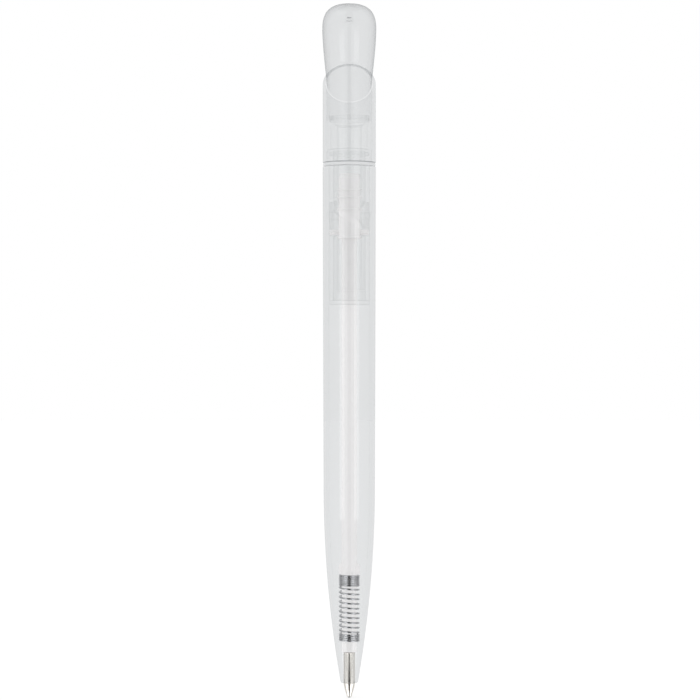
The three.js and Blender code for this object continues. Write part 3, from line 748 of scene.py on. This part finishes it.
class PEN_OT_spiral_drive(bpy.types.Operator):
    """Turn the spiral drive, cut its two spiral slots and add the six lugs on its head."""

    bl_idname = "pen.spiral_drive"
    bl_label = "Spiral drive"

    def execute(self, context):
        sizes = context.scene.pen_sizes
        foot, top, _ = span("spiral_drive")
        _, collar_top, _ = span("guide_sleeve")
        head_foot = collar_top + FACE_GAP
        head_top = head_foot + DRIVE_HEAD_HEIGHT
        inside, outside, head = sizes.drive_inside, sizes.drive_outside, sizes.drive_head
        castle = head - CASTLE_WALL
        edge = sizes.edge
        coats = ["mechanism_face", "mechanism_line"]
        drive = turned(
            "spiral_drive",
            [
                (inside + edge, foot, 0),
                (outside - edge, foot, 1),
                (outside, foot + edge, 0),
                (outside, head_foot, 0),
                (head - edge, head_foot, 1),
                (head, head_foot + edge, 0),
                (head, top - edge, 1),
                (head - edge, top, 0),
                (castle + edge, top, 1),
                (castle, top - edge, 0),
                (castle, head_top, 1),
                (inside, head_top - (castle - inside), 0),
                (inside, foot + edge, 1),
            ],
            coats,
        )
        slots = [self.slot(sizes, bearing, coats) for bearing in (0, math.pi)]
        combined(drive, slots, "DIFFERENCE")
        reach, heights = (head - CUT_MARGIN, DRIVE_LUG_REACH), (top - DRIVE_LUG_HEIGHT, top)
        lugs = [
            radial_block("lug", reach, DRIVE_LUG_WIDTH, heights, bearing, coats, 1)
            for bearing in LUG_BEARINGS
        ]
        combined(drive, lugs, "UNION")
        dress(drive, "upper_part", "spiral_drive", slot="clear_mechanism")
        return {"FINISHED"}

    def slot(self, sizes, bearing, coats):
        """The cutter of one spiral slot, which climbs the stroke in half a turn."""
        reach = [sizes.drive_inside - CUT_MARGIN, sizes.drive_outside + CUT_MARGIN]
        half = sizes.lug_radius + sizes.lug_play
        slant = math.atan(sizes.stroke / (math.pi * sizes.drive_outside))
        rise = half / math.cos(slant)
        over = half / sizes.drive_inside / math.pi
        build = bmesh.new()
        rings = []
        for share in spread(-over, 1 + over, 72):
            turn = bearing - math.pi * share
            height = sizes.lug_height + sizes.stroke * share
            past = max(-share, share - 1, 0) / over
            narrow = rise * math.sqrt(max(1 - past ** 2, 0.04))
            rings.append([
                build.verts.new((radius * math.cos(turn), radius * math.sin(turn), height + way * narrow))
                for radius, way in ((reach[0], -1), (reach[1], -1), (reach[1], 1), (reach[0], 1))
            ])
        skinned(build, rings, coat=1)
        return finished("slot", build, coats)


# The lower part


class PEN_OT_lower_barrel(bpy.types.Operator):
    """Turn the long lower barrel with its tapered nose, spring seat and snap groove."""

    bl_idname = "pen.lower_barrel"
    bl_label = "Lower barrel"

    def execute(self, context):
        sizes = context.scene.pen_sizes
        nose, joint, joint_radius = span("lower_barrel")
        taper_top = nose + sizes.taper_length
        draft = (joint_radius - sizes.taper_top_radius) / (joint - taper_top)
        drop = sizes.taper_top_radius - draft * sizes.taper_length - sizes.nose_radius

        def outer(height):
            along = height - taper_top
            cone = sizes.taper_top_radius + draft * along
            return cone if along >= 0 else cone - drop * (along / sizes.taper_length) ** 2

        def inner(height):
            return min(sizes.sleeve_bore, max(sizes.spring_room, outer(height) - sizes.barrel_wall))

        edge, bore, rim = sizes.ring_edge, sizes.sleeve_bore, NOSE_EDGE
        groove, swell, wide, deep = sizes.bead_height, BEAD_SWELL, GROOVE_HALF, GROOVE_FLOOR_HALF
        rows = [
            (bore + sizes.edge, joint, 2),
            (joint_radius - edge, joint, 1),
            (joint_radius, joint - edge, 0),
            *[(outer(height), height, 0) for height in spread(joint - 0.004, taper_top, 10)],
            *[(outer(height), height, 0) for height in spread(taper_top, nose + rim, 60)[1:]],
        ]
        rows += [
            (outer(nose + rim) - rim * (1 - math.cos(turn)), nose + rim - rim * math.sin(turn), 1)
            for turn in [math.radians(angle) for angle in (30, 60, 90)]
        ]
        rows += [
            (sizes.nib_bore + 0.0001, nose, 3),
            (sizes.nib_bore, nose + 0.0001, 2),
            (sizes.nib_bore, sizes.bore_step, 3),
            (sizes.tube_bore, sizes.bore_step, 2),
            (sizes.tube_bore, sizes.spring_seat - 0.0001, 3),
            (sizes.tube_bore + 0.0001, sizes.spring_seat, 3),
            *[(inner(height), height, 2) for height in spread(sizes.spring_seat, taper_top, 60)],
            (bore, groove - wide, 3),
            (bore + swell, groove - deep, 2),
            (bore + swell, groove + deep, 3),
            (bore, groove + wide, 2),
            (bore, joint - sizes.edge, 2),
        ]
        barrel = turned("lower_barrel", rows, ["barrel_face", "cut_line", "bore_face", "bore_line"])
        dress(barrel, "lower_part", "lower_barrel", slot="clear_body")
        return {"FINISHED"}


class PEN_OT_centre_ring(bpy.types.Operator):
    """Turn the pale ring between the barrels."""

    bl_idname = "pen.centre_ring"
    bl_label = "Centre ring"

    def execute(self, context):
        sizes = context.scene.pen_sizes
        foot, top, _ = span("centre_ring")
        radius = span("upper_barrel")[2] - RING_INSET
        inner, edge = sizes.upper_bore, SMALL_EDGE
        rows = [
            (inner, foot + edge, 1),
            (inner + edge, foot, 1),
            *rounded(radius, foot, top, edge, 4),
            (inner + edge, top, 1),
            (inner, top - edge, 1),
        ]
        ring = turned("centre_ring", rows, ["ring_face", "bore_face"])
        dress(ring, "lower_part", "centre_ring", slot="pale_ring")
        return {"FINISHED"}


class PEN_OT_guide_sleeve(bpy.types.Operator):
    """Turn the guide sleeve with its straight slots, its end cap, and the brake ring in its collar."""

    bl_idname = "pen.guide_sleeve"
    bl_label = "Guide sleeve"

    def execute(self, context):
        sizes = context.scene.pen_sizes
        foot, top, collar = span("guide_sleeve")
        inside, outside, edge = sizes.sleeve_inside, sizes.sleeve_outside, sizes.edge
        _, joint, _ = span("lower_barrel")
        shelf = joint + FACE_GAP
        bead, swell = sizes.bead_height, BEAD_SWELL
        pocket, pocket_foot = sizes.drive_outside + POCKET_ROOM, top - POCKET_DEPTH
        coats = ["mechanism_face", "mechanism_line"]
        sleeve = turned(
            "guide_sleeve",
            [
                (inside, pocket_foot, 0),
                (pocket, pocket_foot, 0),
                (pocket, top, 0),
                (collar - edge, top, 1),
                (collar, top - edge, 0),
                (collar, shelf, 1),
                (outside, shelf, 0),
                (outside, bead + BEAD_HALF, 0),
                *arc(outside, bead, swell, 60, -60, 6, 0),
                (outside, bead - BEAD_HALF, 0),
                (outside, foot + edge, 1),
                (outside - edge, foot, 0),
                (inside + edge, foot, 0),
                (inside, foot + edge, 0),
            ],
            coats,
        )
        half = sizes.lug_radius + sizes.lug_play
        heights = (sizes.lug_height - half, sizes.lug_height + sizes.stroke + half)
        reach = (inside - CUT_MARGIN, outside + CUT_MARGIN)
        cutters = [
            radial_block("slot", reach, 2 * half, heights, bearing, coats, 1) for bearing in (0, 180)
        ]
        combined(sleeve, cutters, "DIFFERENCE")
        dress(sleeve, "lower_part", "guide_sleeve", slot="clear_mechanism")
        self.end_cap(sizes)
        self.brake_ring()
        return {"FINISHED"}

    def end_cap(self, sizes):
        foot, top, radius = span("sleeve_end_cap")
        hole, plug = sizes.tube_radius + END_CAP_ROOM, sizes.sleeve_inside - PRESS_GAP
        flange, edge = foot + END_CAP_FLANGE, sizes.edge
        cap = turned(
            "sleeve_end_cap",
            [
                (hole + edge, foot, 0),
                (radius - 2 * edge, foot, 1),
                (radius, foot + 2 * edge, 0),
                (radius, flange - edge, 1),
                (radius - edge, flange, 0),
                (plug, flange, 0),
                (plug, top - edge, 1),
                (plug - edge, top, 0),
                (hole + edge, top, 1),
                (hole, top - edge, 0),
                (hole, foot + edge, 1),
            ],
            ["mechanism_face", "mechanism_line"],
        )
        dress(cap, "lower_part", "sleeve_end_cap", slot="clear_mechanism")

    def brake_ring(self):
        low, high, radius = span("brake_ring")
        half = (high - low) / 2
        ring = turned("brake_ring", arc(radius - half, low + half, half, 0, 345, 23, 0), ["brake_skin"])
        dress(ring, "lower_part", "brake_ring", slot="brake_rubber")


class PEN_OT_return_spring(bpy.types.Operator):
    """Wind the return spring to the left, with closed coils at both ends."""

    bl_idname = "pen.return_spring"
    bl_label = "Return spring"

    def execute(self, context):
        sizes = context.scene.pen_sizes
        low, high, _ = span("return_spring")
        half = sizes.wire / 2
        middle = SPRING_RADIUS - half
        close = sizes.wire * CLOSE_PITCH
        foot, head = low + half, high - half
        closed_below = sizes.closed_below
        closed_above = (head - foot - closed_below * close - OPEN_COILS * sizes.coil_pitch) / close
        count = closed_below + OPEN_COILS + closed_above

        def climb(turns):
            below = min(turns, closed_below)
            between = min(max(turns - closed_below, 0), OPEN_COILS)
            above = max(turns - closed_below - OPEN_COILS, 0)
            return below * close + between * sizes.coil_pitch + above * close

        line = []
        for turns in spread(0, count, int(count * COIL_STEPS)):
            climbs = [climb(min(max(turns + shift, 0), count)) for shift in COIL_EASING]
            height = foot + sum(climbs) / len(climbs)
            bearing = SPRING_START - FULL_TURN * turns
            line.append(Vector((middle * math.cos(bearing), middle * math.sin(bearing), height)))
        spring = swept("return_spring", line, half, ["drawn_steel"])
        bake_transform(spring)
        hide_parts("return_spring")
        return {"FINISHED"}


# The refill


class PEN_OT_refill(bpy.types.Operator):
    """Turn the white refill tube with its crimped ears, and the carrier cup on its tail."""

    bl_idname = "pen.refill"
    bl_label = "Refill tube and carrier"

    def execute(self, context):
        sizes = context.scene.pen_sizes
        foot, top, reach = span("refill_tube")
        radius, bore = sizes.tube_radius, sizes.tube_inside
        ear_foot, ear_rise = EAR_FOOT, EAR_TOP - EAR_FOOT

        def crimp(share):
            def out(bearing):
                across = abs(math.sin(bearing)) * radius
                near = max(0.0, 1 - (across / EAR_HALF_WIDTH) ** 4) ** 0.5
                return radius + (reach - radius) * near * share

            return out

        ears = [(radius, ear_foot, 0), (crimp(0.97), ear_foot + 0.00002, 0)]
        for share in spread(0.02, 0.99, 12):
            bulge = math.cos(math.pi / 2 * share ** 3) ** 0.8
            ears.append((crimp(bulge), ear_foot + 0.00005 + ear_rise * share, 0))
        rows = [
            (bore, foot, 0),
            (radius - TUBE_EDGE, foot, 0),
            (radius, foot + TUBE_EDGE, 0),
            (radius, TUBE_BELOW_EARS, 0),
            *ears,
            *[(radius, height, 0) for height in spread(TUBE_ABOVE_EARS, top - 0.0001, 12)],
            (radius - 0.0001, top, 0),
            (bore, top, 0),
        ]
        tube = turned("refill_tube", rows, ["white_tube"])
        dress(tube, "refill", "refill_tube", slot="white_plastic")
        self.carrier(sizes)
        return {"FINISHED"}

    def carrier(self, sizes):
        foot, top, reach = span("refill_carrier")
        body, rib, vent, bore = CARRIER_RADIUS, RIB_RADIUS, VENT_RADIUS, sizes.tube_radius + PRESS_GAP
        foot_top, roof = foot + CARRIER_FOOT_HEIGHT, top - CARRIER_ROOF
        rows = [
            (bore + 0.0001, foot, 0),
            *rounded(rib, foot, foot_top, SMALL_EDGE, 3),
            (body, foot_top, 0),
        ]
        for drop in RIB_DROPS:
            high = top - drop
            low = high - RIB_HEIGHT
            rows += [(body, low, 0), *rounded(rib, low, high, SMALL_EDGE, 3), (body, high, 0)]
        rows += [
            (body, top - CARRIER_EDGE, 0),
            (body - CARRIER_EDGE, top, 0),
            (vent, top, 0),
            (vent, roof, 0),
            (bore, roof, 0),
            (bore, foot + 0.0001, 0),
        ]
        carrier = turned("refill_carrier", rows, ["white_tube"], 96)
        lugs = []
        turns = [FULL_TURN * side / LUG_SIDES for side in range(LUG_SIDES)]
        for way in (1, -1):
            build = bmesh.new()
            rings = []
            for along, share in ((LUG_ROOT, 1.0), (reach - 0.00015, 1.0), (reach, 0.78)):
                radius = sizes.lug_radius * share
                rings.append([
                    build.verts.new((
                        way * along, radius * math.cos(turn), sizes.lug_height + radius * math.sin(turn)
                    ))
                    for turn in turns
                ])
            skinned(build, rings)
            lugs.append(finished("lug", build, ["white_tube"]))
        combined(carrier, lugs, "UNION")
        dress(carrier, "refill", "refill_carrier", slot="white_plastic")


class PEN_OT_point(bpy.types.Operator):
    """Turn the nib and the writing ball."""

    bl_idname = "pen.point"
    bl_label = "Nib and ball"

    def execute(self, context):
        _, top, shank = span("nib")
        _, _, ball_radius = span("writing_ball")
        tip, cone_foot, corner = CONE_TIP_RADIUS, CONE_FOOT, SHOULDER_CORNER
        rows = [
            (0.00046, 0.0002, 0),
            (0.00049, 0.0002, 0),
            (0.00055, 0.00026, 0),
            (tip, cone_foot, 0),
        ]
        for share in spread(0.04, 1, 14):
            bulge = 4 * CONE_BULGE * share * (1 - share)
            rows.append((tip + (shank - tip) * share + bulge, cone_foot + CONE_HEIGHT * share, 0))
        rows += [
            (shank, 0.0080, 0),
            (shank, 0.0088, 0),
            *arc(shank - corner, SHOULDER - corner, corner, 0, 90, 8, 0),
            (0.00101, top - 0.00015, 0),
            (0.00085, top, 0),
            (0.00035, top, 0),
            (0.00035, 0.00104, 0),
            (0.00046, 0.0008, 0),
            (0.00054, 0.0005, 0),
        ]
        nib = turned("nib", rows, ["turned_nickel"], 96)
        dress(nib, "refill", "nib", slot="nickel_silver")
        meridian = arc(0, ball_radius, ball_radius, -90, 90, 32, 0)
        meridian[0] = (0, *meridian[0][1:])
        meridian[-1] = (0, *meridian[-1][1:])
        ball = turned("writing_ball", meridian, ["ball_metal"], 64)
        dress(ball, "ball", "writing_ball", slot="hard_metal")
        return {"FINISHED"}


class PEN_OT_ink(bpy.types.Operator):
    """Pour the ink column and the grease that follows it, both with a hollow end."""

    bl_idname = "pen.ink"
    bl_label = "Ink and grease"

    def execute(self, context):
        for node, slot in (("ink_column", "ink"), ("grease_follower", "grease")):
            foot, top, radius = span(node)
            fill = turned(
                node,
                [
                    (0, foot, 0),
                    (radius - 0.0001, foot, 0),
                    (radius, foot + 0.0001, 0),
                    (radius, top - 0.00002, 0),
                    (radius - 0.0001, top - 0.00006, 0),
                    (radius * 0.6, top - 0.00028, 0),
                    (radius * 0.3, top - 0.00036, 0),
                    (0, top - 0.00038, 0),
                ],
                [f"{slot}_fill"],
                64,
            )
            dress(fill, "refill", node, slot=slot)
        return {"FINISHED"}


# The studio


PANELS = (
    # name, first and last bearing from the camera in degrees, foot, top, radiance
    ("card_front", -8, 8, -0.12, 0.25, 0.05),
    ("card_low", -20, 20, -1.0, -0.12, 0.05),
    ("card_high", -20, 20, 0.25, 1.4, 0.05),
    ("strip_left", -44, -21, -0.04, 0.25, 2.5),
    ("strip_right", 21, 44, -0.04, 0.25, 2.5),
    ("strip_low_left", -70, -30, -1.0, -0.22, 2.5),
    ("strip_low_right", 30, 70, -1.0, -0.22, 2.5),
    ("flag_left", -130, -95, -1.0, 1.4, 0.65),
    ("flag_right", 95, 130, -1.0, 1.4, 0.65),
)


class PEN_OT_studio(bpy.types.Operator):
    """Set up the floor, the cards and tall lamps, the world, the key lamp and the camera."""

    bl_idname = "pen.studio"
    bl_label = "Studio"

    def execute(self, context):
        studio = context.scene.pen_studio
        self.floor()
        self.panels(studio)
        self.world(context.scene, studio)
        self.lamps(studio)
        self.camera(context.scene, studio)
        return {"FINISHED"}

    def floor(self):
        """Lay the white floor just below the ball."""
        build = bmesh.new()
        middle = build.verts.new((0, 0, FLOOR_HEIGHT))
        rings = [circle(build, radius, FLOOR_HEIGHT, FLOOR_SIDES) for radius in FLOOR_RADII]
        for side in range(FLOOR_SIDES):
            build.faces.new([middle, rings[0][side], rings[0][(side + 1) % FLOOR_SIDES]])
        skinned(build, rings, ends=False)
        finish = Finish("floor_white")
        plain = finish.add("ShaderNodeBsdfDiffuse", {}, {"Color": (0.95, 0.95, 0.95)})
        shadowed = finish.add("ShaderNodeBsdfDiffuse", {}, {"Color": (0.36, 0.36, 0.36)})
        glow = finish.add("ShaderNodeEmission", {}, {"Color": (1, 1, 1), "Strength": 0.66})
        both = finish.add("ShaderNodeAddShader", {}, {0: shadowed, 1: glow})
        finish.done(finish.over(finish.seen_straight(), plain, both))
        floor = finished("floor", build, ["floor_white"])
        floor.visible_glossy = False

    def panels(self, studio):
        """Cards and tall lamps round the pen, which only reflections see."""
        away = studio.panel_away
        for name, start, end, low, high, radiance in PANELS:
            build = bmesh.new()
            turns = [math.radians(bearing) for bearing in spread(start, end, 12)]
            rings = [
                [
                    build.verts.new((away * math.sin(turn), -away * math.cos(turn), height))
                    for turn in turns
                ]
                for height in (low, high)
            ]
            skinned(build, rings, closed=False, ends=False)
            finish = Finish(name)
            where = finish.add("ShaderNodeTexCoord", output="Object")
            height = finish.add("ShaderNodeSeparateXYZ", {}, {0: where}, "Z")
            limits = {"Value": height, "From Min": FADE_FOOT, "From Max": FADE_TOP}
            fade = finish.add("ShaderNodeMapRange", {}, limits)
            shade = finish.blend(fade, (1, 1, 1), (min(1 / radiance, 1),) * 3)
            finish.done(finish.add("ShaderNodeEmission", {}, {"Color": shade, "Strength": radiance}))
            self.hide(finished(name, build, [name]))
        build = bmesh.new()
        build.faces.new(circle(build, away, CARD_ABOVE_HEIGHT, 32))
        finish = Finish("card_above")
        finish.done(finish.add("ShaderNodeEmission", {}, {"Color": CARD_ABOVE_SHADE, "Strength": 1.0}))
        self.hide(finished("card_above", build, ["card_above"]))

    def hide(self, panel):
        for rays in ("camera", "diffuse", "shadow", "transmission", "volume_scatter"):
            setattr(panel, f"visible_{rays}", False)

    def world(self, scene, studio):
        world = bpy.data.worlds.new("studio_world")
        world.use_nodes = True
        scene.world = world
        air = Finish("studio_world", world.node_tree)
        white = air.add("ShaderNodeBackground", {}, {"Color": (1, 1, 1), "Strength": 1.0})
        plain = air.add("ShaderNodeBackground", {}, {"Color": (1, 1, 1), "Strength": studio.room})
        air.add("ShaderNodeOutputWorld", {}, {"Surface": air.over(air.seen_straight(), plain, white)})

    def lamps(self, studio):
        lamp = bpy.data.lights.new("soft_key", "AREA")
        lamp.shape = "DISK"
        lamp.size = 0.5
        lamp.energy = studio.key
        self.put(lamp, Vector((-0.35, -0.25, 0.75)), Vector((0, 0, 0.06)))

    def put(self, lamp, place, target):
        holder = bpy.data.objects.new(lamp.name, lamp)
        holder.location = place
        holder.rotation_euler = (target - place).to_track_quat("-Z", "Y").to_euler()
        holder.visible_camera = False
        bpy.context.scene.collection.objects.link(holder)

    def camera(self, scene, studio):
        lens = bpy.data.cameras.new("camera")
        lens.sensor_width = 36
        lens.lens = studio.lens
        lens.clip_start = 0.01
        camera = bpy.data.objects.new("camera", lens)
        camera.location = (studio.aside, -studio.distance, studio.height)
        camera.rotation_euler = (math.radians(90), 0, 0)
        scene.collection.objects.link(camera)
        scene.camera = camera
        scene.view_settings.view_transform = "Standard"
        scene.cycles.transparent_max_bounces = 40
        scene.cycles.max_bounces = 16


class PEN_PT_panel(bpy.types.Panel):
    """The pen's settings and its pieces."""

    bl_idname = "PEN_PT_panel"
    bl_label = "Clear ballpoint pen"
    bl_space_type = "VIEW_3D"
    bl_region_type = "UI"
    bl_category = "Pen"

    def draw(self, context):
        for group in (context.scene.pen_sizes, context.scene.pen_colours, context.scene.pen_studio):
            box = self.layout.box()
            for name in group.__annotations__:
                box.prop(group, name)
        column = self.layout.column()
        for step in STEPS:
            column.operator(step.bl_idname)


STEPS = (
    PEN_OT_crown, PEN_OT_upper_barrel, PEN_OT_spiral_drive, PEN_OT_lower_barrel, PEN_OT_centre_ring,
    PEN_OT_guide_sleeve, PEN_OT_return_spring, PEN_OT_refill, PEN_OT_point, PEN_OT_ink, PEN_OT_studio,
)
GROUPS = {"pen_sizes": PenSizes, "pen_colours": PenColours, "pen_studio": PenStudio}


def register():
    for kind in (*GROUPS.values(), *STEPS, PEN_PT_panel):
        bpy.utils.register_class(kind)
    for name, group in GROUPS.items():
        setattr(bpy.types.Scene, name, PointerProperty(type=group))


def unregister():
    for name in GROUPS:
        delattr(bpy.types.Scene, name)
    for kind in (PEN_PT_panel, *reversed(STEPS), *GROUPS.values()):
        bpy.utils.unregister_class(kind)


def main():
    register()
    for step in STEPS:
        getattr(bpy.ops.pen, step.bl_idname.split(".")[1])()


if __name__ == "__main__":
    main()
